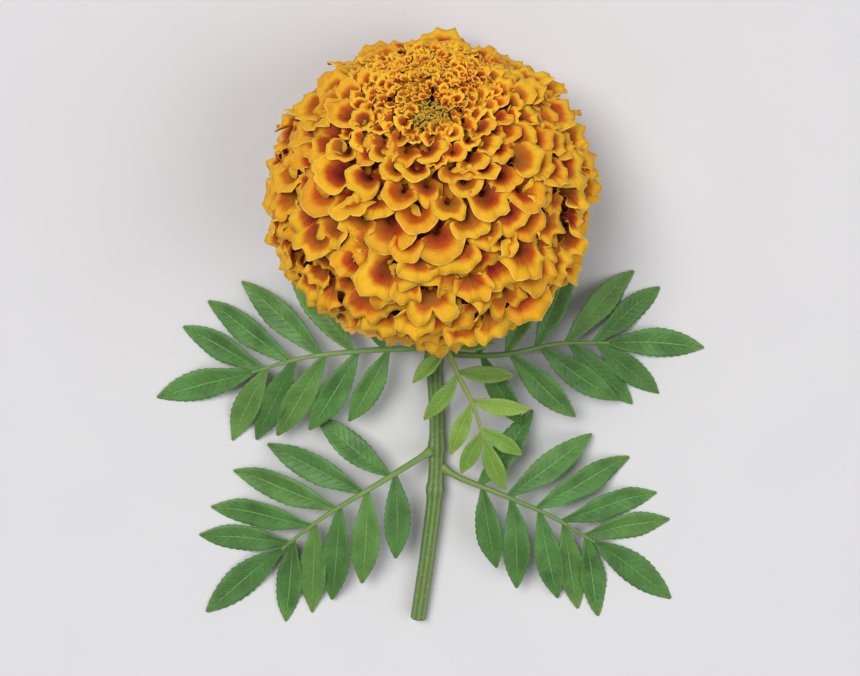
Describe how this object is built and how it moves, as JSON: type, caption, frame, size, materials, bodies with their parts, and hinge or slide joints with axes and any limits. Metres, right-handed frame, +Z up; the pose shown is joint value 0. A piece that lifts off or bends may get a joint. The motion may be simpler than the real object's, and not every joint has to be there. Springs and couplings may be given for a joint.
{
  "type": "marigold flower",
  "caption": "Picked African marigold lying down: a full orange double bloom in a green cup, on a short cut stem with feathery leaves.",
  "frame": {"origin": "on the surface that the flower lies on, under the middle of its outline", "axes": "+Z up from that surface, +Y from the cut end of the stem towards the bloom, +X to the right of that"},
  "size_m": [0.1635, 0.1829, 0.0808],
  "materials": {
    "petals": "soft matt orange petals",
    "buds": "matt olive-brown",
    "cup": "smooth ribbed green",
    "stem": "smooth ribbed green",
    "leaves": "satin deep green",
    "young_leaf": "satin bright green"
  },
  "bodies": {
    "root": {"bloom": "petals", "crown_buds": "buds", "green_cup": "cup", "stem": "stem", "leaf_upper_left": "leaves", "leaf_upper_right": "leaves", "leaf_lower_left": "leaves", "leaf_lower_right": "leaves", "leaf_young": "young_leaf"}
  },
  "joints": []
}
